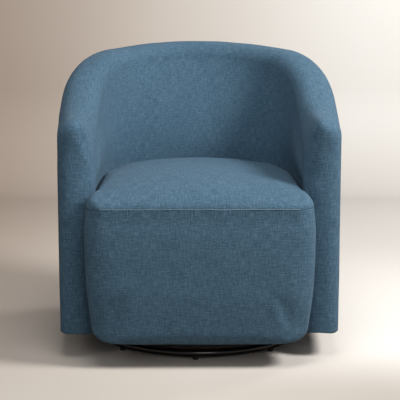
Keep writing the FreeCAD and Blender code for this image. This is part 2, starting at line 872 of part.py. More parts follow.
def spring_cup(x, y, level, up):
    """A pressed cup that keeps one end of a spring in place."""
    z = level if up > 0 else level - cup_thickness
    boss_z = z + cup_thickness if up > 0 else z - cup_boss_height
    return rod(cup_radius, cup_thickness, x, y, z).fuse(rod(cup_boss_radius, cup_boss_height, x, y, boss_z))


def spring_cups(level, up):
    return Part.makeCompound([spring_cup(x, y, level, up).removeSplitter() for _, x, y in spring_places()])


def bumper_top():
    """As high as the rocker plate's underside comes down at the limit, less a clearance."""
    limit = math.radians(rock_limit_deg)
    reach = bumper_y + bumper_cap_radius
    along = (reach - rocker_plate_rise * math.sin(limit)) / math.cos(limit)
    return axle_height - along * math.sin(limit) + rocker_plate_rise * math.cos(limit) - bumper_clearance


def bumper_posts():
    top = bumper_top() - bumper_cap_height
    return Part.makeCompound(
        [rod(bumper_radius, top - yoke_top, 0, side * bumper_y, yoke_top) for side in (-1, 1)]
    )


def bumper_caps():
    bottom = bumper_top() - bumper_cap_height
    return Part.makeCompound(
        [rod(bumper_cap_radius, bumper_cap_height, 0, side * bumper_y, bottom) for side in (-1, 1)]
    )


def mechanism_bolts():
    """Hex bolts up through the rocker plate and the base board."""
    length = rocker_plate_thickness + board_thickness + flange_nut_height + bolt_tail
    solids = []
    for x, y in bolt_places():
        head = hex_prism(bolt_head_radius, bolt_head_height, x, y, rocker_plate_bottom - bolt_head_height)
        solids.append(head.fuse(rod(bolt_radius, length, x, y, rocker_plate_bottom)).removeSplitter())
    return Part.makeCompound(solids)


def mechanism_nuts():
    return Part.makeCompound(
        [
            hex_prism(flange_nut_radius, flange_nut_height, x, y, board_top).cut(
                rod(bolt_radius, flange_nut_height, x, y, board_top)
            )
            for x, y in bolt_places()
        ]
    )


def hub_plate():
    return tube(hub_plate_radius, king_pin_radius, hub_plate_thickness, 0, 0, hub_bottom)


def build():
    """Every piece of the chair, by its name."""
    rail = top_rail()
    facing = arm_facing()
    right_panel, back_panel, left_panel = outer_panels()
    springs, clips = seat_suspension()
    bush = axle_bush()
    pieces = {
        "base_ring": base_ring(),
        "base_spokes": spokes(),
        "foot_pads": foot_pads(),
        "hub_plate": hub_plate(),
        "king_pin": king_pin(),
        "king_pin_washer": king_pin_washer(),
        "king_pin_nut": king_pin_nut(),
        "lower_bearing_race": race(lower_race_bottom),
        "bearing_balls": bearing_balls(),
        "ball_cage": ball_cage(),
        "upper_bearing_race": race(upper_race_bottom),
        "swivel_yoke": swivel_yoke(),
        "swivel_bush": swivel_bush(),
        "rocker_axle": rocker_axle(),
        "axle_clips": axle_clips(),
        "lower_spring_cups": spring_cups(yoke_top, 1),
        "bumper_posts": bumper_posts(),
        "bumper_caps": bumper_caps(),
        "rocker_plate": rocker_plate(),
        "right_axle_bush": bush,
        "left_axle_bush": mirrored_x(bush),
        "upper_spring_cups": spring_cups(rocker_plate_bottom, -1),
        "mechanism_bolts": mechanism_bolts(),
        "mechanism_nuts": mechanism_nuts(),
        "base_board": base_board(),
        "bottom_rail": bottom_rail(),
        "top_rail": rail,
        "corner_blocks": corner_blocks(),
        "seat_springs": springs,
        "spring_clips": clips,
        "insulator_pad": insulator_pad(),
        "seat_cushion": seat_cushion(),
        "front_apron": front_apron(),
        "inner_padding": inner_padding(),
        "right_arm_facing": facing,
        "left_arm_facing": mirrored_x(facing),
        "right_outer_panel": right_panel,
        "back_outer_panel": back_panel,
        "left_outer_panel": left_panel,
        "dust_cover": dust_cover(),
    }
    pieces.update(posts(rail))
    pieces.update(seat_rails())
    for name, x, y in spring_places():
        pieces[name + "_rocker_spring"] = rocker_spring(x, y)
    return pieces


def main():
    os.makedirs("parts", exist_ok=True)
    for name, shape in build().items():
        shape.exportStep(f"parts/{name}.step")


main()
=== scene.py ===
import math

import bmesh
import bpy
import numpy as np
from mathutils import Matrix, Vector, noise


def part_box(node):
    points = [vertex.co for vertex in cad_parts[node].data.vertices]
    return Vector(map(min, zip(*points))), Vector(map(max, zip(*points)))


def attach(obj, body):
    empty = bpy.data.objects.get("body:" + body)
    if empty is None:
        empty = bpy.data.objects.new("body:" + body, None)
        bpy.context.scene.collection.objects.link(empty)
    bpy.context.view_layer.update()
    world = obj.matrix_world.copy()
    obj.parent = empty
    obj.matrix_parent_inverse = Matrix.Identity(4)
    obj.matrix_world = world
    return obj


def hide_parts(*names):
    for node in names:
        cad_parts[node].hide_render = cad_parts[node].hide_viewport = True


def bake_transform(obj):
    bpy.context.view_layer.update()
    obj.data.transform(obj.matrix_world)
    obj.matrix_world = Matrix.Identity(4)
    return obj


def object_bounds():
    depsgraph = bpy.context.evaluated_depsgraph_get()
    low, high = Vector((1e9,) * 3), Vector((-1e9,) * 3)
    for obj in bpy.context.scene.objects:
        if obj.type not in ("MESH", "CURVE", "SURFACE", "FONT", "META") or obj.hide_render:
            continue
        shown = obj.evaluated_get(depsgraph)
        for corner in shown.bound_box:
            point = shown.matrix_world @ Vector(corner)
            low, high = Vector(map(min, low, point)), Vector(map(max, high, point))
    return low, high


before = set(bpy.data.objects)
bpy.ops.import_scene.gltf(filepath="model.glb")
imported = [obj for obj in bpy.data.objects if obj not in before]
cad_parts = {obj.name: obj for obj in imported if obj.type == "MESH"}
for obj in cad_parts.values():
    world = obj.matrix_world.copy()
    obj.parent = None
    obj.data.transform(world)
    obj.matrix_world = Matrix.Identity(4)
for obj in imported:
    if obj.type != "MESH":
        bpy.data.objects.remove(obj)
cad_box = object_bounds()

# Sizes in metres, read from the frame or named once
half_width = cad_box[1].x
front_y, back_y = cad_box[0].y, cad_box[1].y
overall_height = cad_box[1].z
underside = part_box("front_apron")[0].z
seat_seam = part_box("front_apron")[1].z
pad_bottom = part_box("inner_padding")[0].z
cushion_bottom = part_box("seat_cushion")[0].z
arm_front_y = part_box("right_arm_facing")[0].y
back_centre_y = back_y - half_width
seat_back_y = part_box("seat_cushion")[1].y + 0.003

# The barrel's plan: its wall's thickness, and how square its inside is, where 2 is an ellipse
arm_thickness, side_thickness, arm_taper = 0.091, 0.106, 0.018
back_top_thickness, back_seat_thickness = 0.115, 0.178
barrel_squareness = 2.9

# The rim: its height in front, where it sweeps up to the back, and its section
arm_height, back_crown_rise = 0.610, 0.040
slope_start_y, slope_end_y = -0.195, 0.235
nose_drop, nose_length = 0.001, 0.070
rim_outer_radius, rim_inner_radius = 0.046, 0.045
rim_seam_drop, knee_height = 0.062, 0.440
arm_inner_fall, fall_start_y, fall_run = 0.118, -0.02, 0.27
inner_puff, foot_round = 0.009, 0.009

# The arms' padded ends: how far back their rounding reaches at the top, inside and outside
nose_reach, inner_reach, edge_reach = 0.042, 0.070, 0.0345
nose_fall, nose_bulge, end_middle = 0.030, 0.007, 0.040
facing_thickness, padded_end = 0.036, 0.105

# The frame's space inside the cover, the outside panels, and the grid's pitch along the outline
frame_inner, panel_thickness = 0.039, 0.0135
panel_seam_angle, ring_pitch = 42.0, 0.0135

arm_length = back_centre_y - arm_front_y
side_radius = (arm_length**2 + arm_taper**2) / (2 * arm_taper)
side_sweep = math.asin(arm_length / side_radius)
side_length = side_radius * side_sweep
back_length = math.pi * half_width
outline_length = 2 * side_length + back_length


def smooth(t):
    t = min(1.0, max(0.0, t))
    return t * t * (3 - 2 * t)


def mix(a, b, t):
    return a + (b - a) * t


def quarter(steps, first=1):
    """Angles over a quarter turn."""
    return [math.radians(90 * k / steps) for k in range(first, steps + 1)]


def through(xs, ys, x):
    """A smooth curve without overshoot through the points, at x."""
    xs, ys = list(xs), list(ys)
    x = min(xs[-1], max(xs[0], x))
    k = max(0, min(len(xs) - 2, int(np.searchsorted(xs, x, side="right")) - 1))
    steps = [(ys[i + 1] - ys[i]) / (xs[i + 1] - xs[i]) for i in range(len(xs) - 1)]

    def slope(i):
        if i == 0 or i == len(xs) - 1:
            return steps[0] if i == 0 else steps[-1]
        a, b = steps[i - 1], steps[i]
        return 0.0 if a * b <= 0 else 2 * a * b / (a + b)

    h = xs[k + 1] - xs[k]
    t = (x - xs[k]) / h
    a, b = slope(k) * h, slope(k + 1) * h
    return (
        (2 * t**3 - 3 * t**2 + 1) * ys[k]
        + (t**3 - 2 * t**2 + t) * a
        + (-2 * t**3 + 3 * t**2) * ys[k + 1]
        + (t**3 - t**2) * b
    )


def add_object(name, data):
    obj = bpy.data.objects.new(name, data)
    bpy.context.scene.collection.objects.link(obj)
    return obj


def mesh_piece(name, verts, faces, material, uvs=None, body="seat"):
    """A mesh object from points and faces. uvs gives each face's corners, in metres of cloth."""
    mesh = bpy.data.meshes.new(name)
    mesh.from_pydata([tuple(map(float, v)) for v in verts], [], faces)
    if uvs is not None:
        layer = mesh.uv_layers.new(name="weave")
        layer.data.foreach_set("uv", np.array([c for f in uvs for c in f], np.float32).ravel())
    mesh.polygons.foreach_set("use_smooth", [True] * len(mesh.polygons))
    mesh.materials.append(material)
    mesh.validate()
    obj = add_object(name, mesh)
    if body:
        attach(obj, body)
    return obj


def tidy_mesh(obj, distance=0.00005):
    """Joins doubled points, drops faces without area and turns all faces outward."""
    bm = bmesh.new()
    bm.from_mesh(obj.data)
    bmesh.ops.remove_doubles(bm, verts=bm.verts, dist=distance)
    bmesh.ops.dissolve_degenerate(bm, edges=bm.edges, dist=distance)
    loose = [v for v in bm.verts if not v.link_faces]
    bmesh.ops.delete(bm, geom=loose, context="VERTS")
    bmesh.ops.recalc_face_normals(bm, faces=bm.faces)
    bm.to_mesh(obj.data)
    bm.free()
    obj.data.update()


def points_of(obj):
    co = np.zeros(len(obj.data.vertices) * 3, np.float32)
    obj.data.vertices.foreach_get("co", co)
    return co.reshape(-1, 3).astype(float)


def set_points(obj, co):
    obj.data.vertices.foreach_set("co", np.asarray(co, np.float32).ravel())
    obj.data.update()


def normals_of(obj):
    return np.array([v.normal[:] for v in obj.data.vertices], float)


def soften(obj, amount, size):
    """Slight hand-made unevenness: moves points along their normals by smooth noise."""
    co, nor = points_of(obj), normals_of(obj)
    broad = np.array([noise.noise(Vector(p / size)) for p in co])
    fine = np.array([0.5 * noise.noise(Vector(p / size * 2.1)) for p in co])
    set_points(obj, co + nor * (amount * (broad + fine))[:, None])


def grid_faces(rows, cols, closed=False, flip=False):
    faces = []
    for r in range(rows - 1):
        for c in range(cols if closed else cols - 1):
            d = (c + 1) % cols
            f = (r * cols + c, r * cols + d, (r + 1) * cols + d, (r + 1) * cols + c)
            faces.append(f[::-1] if flip else f)
    return faces


def ring_faces(upper, lower):
    """Faces between two closed rings with as many points."""
    size = len(upper)
    pairs = [(k, (k + 1) % size) for k in range(size)]
    return [(upper[j], upper[k], lower[k], lower[j]) for k, j in pairs]


def border(rows, cols):
    """The points at a grid's edge, in order round it."""
    rim = list(range(cols)) + [r * cols + cols - 1 for r in range(1, rows)]
    rim += [(rows - 1) * cols + c for c in range(cols - 2, -1, -1)]
    return rim + [r * cols for r in range(rows - 2, 0, -1)]


def run_of(points):
    """The distance along a line of points, at each of them."""
    run = [0.0]
    for a, b in zip(points, points[1:]):
        run.append(run[-1] + math.dist(a, b))
    return run


def apply_all(obj):
    """Replaces the mesh by what its modifiers make."""
    dg = bpy.context.evaluated_depsgraph_get()
    made = obj.evaluated_get(dg)
    mesh = bpy.data.meshes.new_from_object(made, preserve_all_data_layers=True, depsgraph=dg)
    old = obj.data
    obj.modifiers.clear()
    obj.data = mesh
    bpy.data.meshes.remove(old)


# Materials

def rgb(r, g, b):
    """A colour from 0-255 sRGB as linear values."""
    def lin(v):
        v /= 255.0
        return v / 12.92 if v <= 0.04045 else ((v + 0.055) / 1.055) ** 2.4
    return (lin(r), lin(g), lin(b), 1.0)


def shade(colour, share):
    return tuple(share * c for c in colour[:3]) + (1.0,)


class Nodes:
    """Builds a material's node tree in few words."""

    def __init__(self, name):
        self.mat = bpy.data.materials.new(name)
        self.mat.use_nodes = True
        self.tree = self.mat.node_tree
        self.tree.nodes.clear()
        self.out = self.tree.nodes.new("ShaderNodeOutputMaterial")
        self.shader = self.tree.nodes.new("ShaderNodeBsdfPrincipled")
        self.tree.links.new(self.shader.outputs[0], self.out.inputs[0])

    def node(self, kind, **settings):
        n = self.tree.nodes.new("ShaderNode" + kind)
        for k, v in settings.items():
            setattr(n, k, v)
        return n

    def link(self, a, b):
        self.tree.links.new(a, b)

    def value(self, **values):
        for k, v in values.items():
            self.shader.inputs[k.replace("_", " ")].default_value = v

    def math(self, op, a, b=None, c=None, clamp=False):
        n = self.node("Math", operation=op, use_clamp=clamp)
        for i, v in enumerate((a, b, c)):
            if v is None:
                continue
            if isinstance(v, (int, float)):
                n.inputs[i].default_value = v
            else:
                self.link(v, n.inputs[i])
        return n.outputs[0]

    def coords(self):
        return self.node("TexCoord").outputs["Object"]

    def split(self, vector):
        n = self.node("SeparateXYZ")
        self.link(vector, n.inputs[0])
        return n.outputs

    def noise(self, vector, scale, detail, rough=0.5):
        place = self.node("Mapping")
        place.inputs["Scale"].default_value = scale
        self.link(vector, place.inputs["Vector"])
        n = self.node("TexNoise")
        n.inputs["Scale"].default_value = 1.0
        n.inputs["Detail"].default_value = detail
        n.inputs["Roughness"].default_value = rough
        self.link(place.outputs[0], n.inputs["Vector"])
        return n.outputs["Fac"]

    def ease(self, socket, low, high):
        n = self.node("MapRange", interpolation_type="SMOOTHSTEP")
        n.inputs["From Min"].default_value, n.inputs["From Max"].default_value = low, high
        self.link(socket, n.inputs["Value"])
        return n.outputs[0]

    def blend(self, share, a, b):
        """Colour a where share is 0 and b where it is 1. a may be a plain colour."""
        n = self.node("Mix", data_type="RGBA")
        self.link(share, n.inputs[0])
        if isinstance(a, tuple):
            n.inputs[6].default_value = a
        else:
            self.link(a, n.inputs[6])
        self.link(b, n.inputs[7])
        return n.outputs[2]

    def ramp(self, fac, stops):
        n = self.node("ValToRGB")
        ramp = n.color_ramp
        while len(ramp.elements) < len(stops):
            ramp.elements.new(0.5)
        for e, (at, colour) in zip(ramp.elements, stops):
            e.position, e.color = at, colour
        self.link(fac, n.inputs[0])
        return n.outputs[0]

    def spread(self, fac, low, high):
        n = self.node("MapRange")
        n.inputs["To Min"].default_value = low
        n.inputs["To Max"].default_value = high
        self.link(fac, n.inputs["Value"])
        return n.outputs[0]

    def bump(self, height, strength, distance):
        n = self.node("Bump")
        n.inputs["Strength"].default_value = strength
        n.inputs["Distance"].default_value = distance
        self.link(height, n.inputs["Height"])
        self.link(n.outputs[0], self.shader.inputs["Normal"])

    def colour(self, socket):
        self.link(socket, self.shader.inputs["Base Color"])

    def rough(self, socket):
        self.link(socket, self.shader.inputs["Roughness"])


def tweed(name, dark, mid, light, pitch=0.0024):
    """A plain weave of slubby two-tone yarn, in metres of cloth. The yarns stray a little sideways."""
    m = Nodes(name)
    uv = m.node("UVMap", uv_map="weave").outputs[0]
    part, stray = m.split(uv), 0.0009
    thick, along, dots = 0.75 / pitch, 0.10 / pitch, 0.70 / pitch
    wobble = m.noise(uv, (90, 90, 1), 2.0)
    a = m.math("MULTIPLY", m.math("MULTIPLY_ADD", wobble, stray, part[0]), math.pi / pitch)
    b = m.math("MULTIPLY", m.math("MULTIPLY_ADD", wobble, -stray, part[1]), math.pi / pitch)
    sa, sb = m.math("SINE", a), m.math("SINE", b)
    over = m.math("MULTIPLY_ADD", m.math("MULTIPLY", sa, sb), 1.6, 0.5, clamp=True)
    under = m.math("SUBTRACT", 1.0, over)
    up, across = m.math("ABSOLUTE", sa), m.math("ABSOLUTE", sb)
    height = m.math("ADD", m.math("MULTIPLY", over, up), m.math("MULTIPLY", under, across))
    warp, weft = m.noise(uv, (thick, along, 1), 2.0), m.noise(uv, (along, thick, 1), 2.0)
    fleck = m.noise(uv, (dots, dots, 1), 2.0, 0.6)
    cloudy = m.noise(uv, (11, 11, 1), 2.0)
    yarn = m.math("ADD", m.math("MULTIPLY", over, warp), m.math("MULTIPLY", under, weft))
    streak = m.math("MULTIPLY", m.math("ADD", warp, weft), 0.5)
    yarn = m.math("MULTIPLY_ADD", yarn, 0.5, m.math("MULTIPLY", streak, 0.5))
    tone = m.math("ADD", m.math("MULTIPLY", yarn, 0.6), m.math("MULTIPLY", fleck, 0.4))
    tone = m.math("ADD", tone, m.math("MULTIPLY_ADD", cloudy, 0.05, -0.025))
    tone = m.math("ADD", tone, m.math("MULTIPLY_ADD", height, 0.10, -0.065))
    m.colour(m.ramp(tone, [(0.34, dark), (0.50, mid), (0.66, light)]))
    m.rough(m.spread(fleck, 0.78, 0.95))
    m.bump(m.math("ADD", height, m.math("MULTIPLY", fleck, 0.5)), 0.55, 0.0006)
    m.value(Sheen_Weight=0.12, Sheen_Roughness=0.5, Sheen_Tint=rgb(190, 206, 220))
    m.value(Specular_IOR_Level=0.12)
    return m.mat


def surface(name, stops, rough, fine, broad, bump, **values):
    """A plain material: a fine noise makes its grain, and a broad one its tone."""
    m = Nodes(name)
    p = m.coords()
    grain, stain = m.noise(p, *fine), m.noise(p, *broad)
    m.colour(m.ramp(stain, stops))
    m.rough(m.spread(grain, *rough))
    m.bump(grain, *bump)
    m.value(**values)
    return m.mat


def gloss_black(name, base, rough, coat):
    return surface(name, [(0.35, base), (0.75, shade(base, 1.7))], (rough * 0.8, rough * 1.35),
                   ((900,) * 3, 3.0), ((18,) * 3, 3.0), (0.12, 0.0002),
                   Coat_Weight=coat, Coat_Roughness=0.08, Specular_IOR_Level=0.5)


def metal(name, base, rough, brushed=(60, 60, 600)):
    return surface(name, [(0.3, shade(base, 0.72)), (0.7, base)], (rough * 0.75, rough * 1.4),
                   (brushed, 3.0), ((35,) * 3, 4.0), (0.15, 0.0002), Metallic=1.0)


def plastic(name, low, high, rough, grain=700, bump=0.2):
    return surface(name, [(0.3, low), (0.7, high)], (rough * 0.85, rough * 1.15),
                   ((grain,) * 3, 3.0), ((40,) * 3, 2.0), (bump, 0.0003))


def wood(name, low, high, along=(6, 60, 60)):
    m = Nodes(name)
    p = m.coords()
    rings = m.noise(p, along, 5.0, 0.6)
    pores = m.noise(p, tuple(14 * s for s in along), 2.0)
    m.colour(m.ramp(m.math("ADD", m.math("MULTIPLY", rings, 0.8), m.math("MULTIPLY", pores, 0.2)),
                    [(0.32, low), (0.52, high), (0.68, low)]))
    m.rough(m.spread(pores, 0.55, 0.8))
    m.bump(pores, 0.25, 0.0004)
    return m.mat


def ply(name):
    """Veneer layers through the board's thickness, with grain on its faces."""
    m = Nodes(name)
    p = m.coords()
    part = m.split(p)
    layer = m.math("ABSOLUTE", m.math("SINE", m.math("MULTIPLY", part[2], math.pi / 0.0026)))
    grain = m.noise(p, (8, 90, 90), 4.0)
    m.colour(m.ramp(m.math("ADD", m.math("MULTIPLY", layer, 0.35), m.math("MULTIPLY", grain, 0.65)),
                    [(0.25, rgb(142, 105, 66)), (0.6, rgb(203, 168, 120))]))
    m.rough(m.spread(grain, 0.55, 0.75))
    m.bump(grain, 0.2, 0.0003)
    return m.mat


def cloth(name, low, high, pitch):
    """A plain thin cloth by object position, for the hidden covers."""
    m = Nodes(name)
    p = m.coords()
    part = m.split(p)
    a = m.math("SINE", m.math("MULTIPLY", part[0], 2 * math.pi / pitch))
    b = m.math("SINE", m.math("MULTIPLY", part[1], 2 * math.pi / pitch))
    weave = m.math("MULTIPLY", a, b)
    spot = m.noise(p, (220,) * 3, 3.0)
    m.colour(m.ramp(m.math("MULTIPLY_ADD", weave, 0.15, spot), [(0.3, low), (0.75, high)]))
    m.rough(m.spread(spot, 0.85, 0.98))
    m.bump(weave, 0.3, 0.0004)
    return m.mat


tweed_cover = tweed("slate tweed", rgb(50, 76, 95), rgb(70, 98, 118), rgb(96, 125, 145))
thread = plastic("thread", rgb(134, 158, 174), rgb(160, 182, 196), 0.7, 2500, 0.4)
slot_materials = {
    "upholstery": tweed_cover,
    "black_cambric": cloth("black cambric", rgb(14, 14, 15), rgb(34, 34, 36), 0.0016),
    "felt_pad": cloth("felt pad", rgb(120, 116, 108), rgb(178, 172, 160), 0.003),
    "timber": wood("timber", rgb(176, 138, 92), rgb(212, 178, 132)),
    "plywood": ply("plywood"),
    "black_tube": gloss_black("black tube", rgb(14, 14, 15), 0.16, 0.5),
    "black_plate": gloss_black("black plate", rgb(20, 20, 21), 0.34, 0.1),
    "zinc_steel": metal("zinc steel", rgb(176, 180, 184), 0.34),
    "bearing_steel": metal("bearing steel", rgb(198, 200, 204), 0.14, (300, 300, 300)),
    "spring_steel": metal("spring steel", rgb(92, 94, 98), 0.32, (400, 400, 400)),
    "nylon": plastic("nylon", rgb(222, 218, 206), rgb(236, 233, 224), 0.42),
    "black_plastic": plastic("black plastic", rgb(17, 17, 18), rgb(30, 30, 31), 0.5),
    "rubber": plastic("rubber", rgb(22, 22, 22), rgb(42, 41, 40), 0.8, 900, 0.4),
}

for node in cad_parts.values():
    for place in node.material_slots:
        wanted = place.material.name.split(".")[0] if place.material else ""
        place.material = slot_materials.get(wanted, slot_materials["timber"])


# The barrel

def rim_height(y):
    """The rim crowns at the back, sweeps down the sides and rounds off at the arm's nose."""
    t = smooth((y - slope_start_y) / (slope_end_y - slope_start_y))
    crown = back_crown_rise * (max(0.0, y) / back_y) ** 1.8
    height = arm_height + (overall_height - back_crown_rise - arm_height) * t + crown
    nose = max(0.0, (arm_front_y + nose_length - y) / nose_length)
    return height - nose_drop * nose * nose


class Station:
    """A place on the barrel's outline, by its distance along it from the right arm's front."""

    def __init__(self, s):
        left = s > outline_length / 2
        t = outline_length - s if left else s
        if t < side_length:
            share = 1 - t / side_length
            angle = -side_sweep * share
            nx, ny = math.cos(angle), math.sin(angle)
            x = half_width - side_radius + side_radius * nx
            y = back_centre_y + side_radius * ny
            self.seat = self.top = side_thickness + (arm_thickness - side_thickness) * share
        else:
            angle = (t - side_length) / half_width
            nx, ny = math.cos(angle), math.sin(angle)
            x, y = half_width * nx, back_centre_y + half_width * ny
            side, back = half_width - side_thickness, half_width - back_seat_thickness
            n = barrel_squareness
            inner = (abs(nx / side) ** n + abs(ny / back) ** n) ** (-1 / n)
            self.seat = half_width - inner
            self.top = back_top_thickness + (side_thickness - back_top_thickness) * nx * nx
        sign = -1 if left else 1
        self.x, self.y, self.nx, self.ny = sign * x, y, sign * nx, ny
        self.s, self.height = s, rim_height(y)
        self.fall = mix(rim_inner_radius, arm_inner_fall, smooth((fall_start_y - y) / fall_run))

    def at(self, inward, z, forward=0.0):
        """A point at a distance inside the outline, moved toward the arm's front end."""
        sign = 1 if self.s < outline_length / 2 else -1
        return (
            self.x - self.nx * inward + sign * forward * self.ny,
            self.y - self.ny * inward - sign * forward * self.nx,
            z,
        )


def barrel_loop(st, shell):
    """The barrel's section as (inward, z) points. shell leaves out the space of the frame."""
    t, seat, h = st.top, st.seat, st.height
    low = pad_bottom if shell else underside
    outer = frame_inner if shell else 0.0
    ro, ri = rim_outer_radius, rim_inner_radius
    seam = h - rim_seam_drop
    pts = []
    for a in quarter(3, 0):
        pts.append((outer + foot_round * (1 - math.sin(a)), low + foot_round * (1 - math.cos(a))))
    for k in range(1, 15):
        pts.append((outer, mix(low + foot_round, seam - 0.002, k / 14)))
    if shell:
        pts += [(0.022, seam), (0.006, seam), (0.0026, seam + 0.0001), (0.0008, seam + 0.0009)]
        pts.append((0.0, seam + 0.003))
    else:
        pts += [(0.0, seam + 0.0004 * k) for k in range(5)]
    for k in range(1, 4):
        pts.append((0.0, mix(seam + 0.003, h - ro, k / 3)))
    for a in quarter(8):
        pts.append((ro - ro * math.cos(a), h - ro + ro * math.sin(a)))
    inner_start = t - ri
    for k in range(1, 3):
        pts.append((mix(ro, inner_start, k / 2), h))
    for a in quarter(12):
        pts.append((inner_start + ri * math.sin(a), h - st.fall * (1 - math.cos(a))))
    for k in range(1, 17):
        share = k / 16
        puff = inner_puff * math.sin(math.pi * share**1.5) * smooth((st.y + 0.25) / 0.15)
        d = t + (seat - t) * (1 - (1 - share) ** 1.5) + puff
        pts.append((d, mix(h - st.fall, knee_height, share)))
    for k in range(1, 9):
        pts.append((seat, mix(knee_height, low + foot_round, k / 8)))
    for a in quarter(3):
        pts.append((seat - foot_round * (1 - math.cos(a)), low + foot_round * (1 - math.sin(a))))
    first, last = pts[0], pts[-1]
    for k in range(1, 4):
        pts.append((mix(last[0], first[0], k / 4), mix(last[1], first[1], k / 4)))
    return pts


def nose_reach_at(d, z, st):
    """How far along the arm a point of its section starts to turn into the padded front end."""
    over_seam = smooth((z - (st.height - rim_seam_drop)) / rim_seam_drop)
    if d < st.top / 2:
        return mix(edge_reach, nose_reach, over_seam)
    inside = mix(edge_reach, inner_reach, smooth((z - knee_height + 0.005) / 0.12))
    return mix(inside, nose_reach, over_seam)


def nose_levels(loop, st):
    """The height on the end's middle line that each point of the section runs to."""
    lowest, highest = underside + 0.006, st.height - nose_fall
    top = max(range(len(loop)), key=lambda i: loop[i][1])
    heights = [min(highest, max(lowest, z)) for _, z in loop]
    steps = sorted({round(heights[i], 6) for i in range(top)})
    inside = [i for i in range(top, len(loop)) if lowest < heights[i] < highest]
    for rank, i in enumerate(inside):
        share = 1 - rank / (len(inside) - 1)
        heights[i] = steps[round(share * (len(steps) - 1))]
    return [min(steps, key=lambda v: abs(v - z)) for z in heights]


def barrel_ring(places, shell):
    """A ring of the cover from a place along the arm for each of its points."""
    points = []
    for i, (s, share, level, forward) in enumerate(places):
        st = Station(s)
        d, z = barrel_loop(st, shell)[i]
        points.append((st, mix(d, end_middle, share), mix(z, level, share), forward))
    return points


def arm_end():
    """The rings of the right arm's padded end, from its tip back to where the frame starts."""
    tip = Station(0.0)
    behind = Station(0.05)
    loop = barrel_loop(behind, False)
    reaches = [nose_reach_at(d, z, behind) for d, z in loop]
    levels = nose_levels(loop, tip)
    turn_steps, level_steps = 12, 5
    rings = []
    for j in range(turn_steps, -1, -1):
        a = math.radians(90 * j / turn_steps)
        places = []
        for reach, level in zip(reaches, levels):
            power = mix(2.4, 2.0, min(1.0, (reach - edge_reach) / (nose_reach - edge_reach)))
            share = 1 - max(0.0, math.cos(a)) ** (2 / power) if j < turn_steps else 1.0
            forward = nose_bulge * smooth((level - (tip.height - 0.085)) / 0.050) * math.sin(a) ** 2
            places.append((reach * (1 - math.sin(a) ** (2 / power)), share, level, forward))
        rings.append((barrel_ring(places, False), a > math.radians(40)))
    ends = [max(reach + 0.001, facing_thickness - 0.0005) for reach in reaches]
    rings.append((barrel_ring([(e, 0, 0, 0) for e in ends], False), False))
    for k in range(level_steps + 1):
        places = [(mix(e + 0.001, padded_end, k / level_steps), 0, 0, 0) for e in ends]
        rings.append((barrel_ring(places, True), False))
    return rings


def other_side(point):
    """The same point on the left arm."""
    st, d, z, forward = point
    return Station(outline_length - st.s), d, z, forward


def barrel_rings():
    """Rings from the tip of the right arm round the back to the tip of the left arm."""
    right = arm_end()
    start, stop = padded_end, outline_length - padded_end
    count = int((stop - start) / ring_pitch)
    middle = []
    for k in range(1, count):
        st = Station(mix(start, stop, k / count))
        middle.append(([(st, d, z, 0.0) for d, z in barrel_loop(st, True)], False))
    left = [([other_side(p) for p in points], front) for points, front in reversed(right)]
    return right + middle + left


def barrel_cover():
    """The inside, the rim and the arms. Its cloth is laid out along the outline and the section."""
    rings = barrel_rings()
    size = len(rings[0][0])
    rim_turn = 31
    verts, cloth_v = [], []
    for points, _ in rings:
        run = run_of([(d, z) for _, d, z, _ in points])
        cloth_v.append([r - run[rim_turn] for r in run])
        verts += [st.at(d, z, forward) for st, d, z, forward in points]
    faces = grid_faces(len(rings), size, closed=True)
    uvs = []
    for f in faces:
        r = f[0] // size
        front = rings[r][1] and rings[r + 1][1]
        wrap = any(i % size == 0 for i in f) and any(i % size == size - 1 for i in f)
        corners = []
        for i in f:
            row, col = divmod(i, size)
            st, d, z, _ = rings[row][0][col]
            if front:
                corners.append((d + 7.0, z - 0.6))
            else:
                v = cloth_v[row][size - 1] + 0.02 if wrap and col == 0 else cloth_v[row][col]
                corners.append((st.s, -v))
        uvs.append(corners)
    obj = mesh_piece("barrel_cover", verts, faces, tweed_cover, uvs)
    tidy_mesh(obj)
    return obj


def outer_cover(name, s0, s1):
    """One outside panel: a thin padded sheet between two places on the outline, its edges turned in."""
    edge, depth = 0.0035, 0.003
    near = [0.0, 0.0004, 0.0011, 0.0021, 0.0035]
    inner = panel_thickness

    def spaced(total, step):
        count = max(2, int((total - 2 * edge) / step))
        middle = [mix(edge, total - edge, k / count) for k in range(1, count)]
        return near + middle + [total - v for v in reversed(near)]

    def tuck(e):
        e = min(e, edge) / edge
        return depth * (1 - math.sqrt(max(0.0, 1 - (1 - e) ** 2)))

    columns = spaced(s1 - s0, ring_pitch)
    shares = spaced(1.0, 0.03)
    verts, uvs_at = [], []
    for side in (0, 1):
        for share in shares:
            for c in columns:
                st = Station(s0 + c)
                low, high = underside + 0.0005, st.height - rim_seam_drop - 0.0004
                z = mix(low, high, share)
                # Near the ends the rows lie at real distances from the edge
                if share <= edge:
                    z = low + share
                elif share >= 1 - edge:
                    z = high - (1 - share)
                side_gap = min(c, s1 - s0 - c)
                e = min(side_gap, z - low, high - z)
                full = smooth(side_gap / 0.12) * smooth((z - low) / 0.1) * smooth((high - z) / 0.08)
                d = tuck(e) - 0.003 * full if side == 0 else inner
                verts.append(st.at(d, z))
                uvs_at.append((s0 + c, z))
    rows, cols = len(shares), len(columns)
    rim, shift = border(rows, cols), rows * cols
    faces = grid_faces(rows, cols)
    faces += [tuple(i + shift for i in f) for f in grid_faces(rows, cols, flip=True)]
    faces += [(rim[i], rim[i - 1], rim[i - 1] + shift, rim[i] + shift) for i in range(len(rim))]
    uvs = [[uvs_at[i] for i in f] for f in faces]
    obj = mesh_piece(name, verts, faces, tweed_cover, uvs)
    tidy_mesh(obj, 0.00002)
    return obj


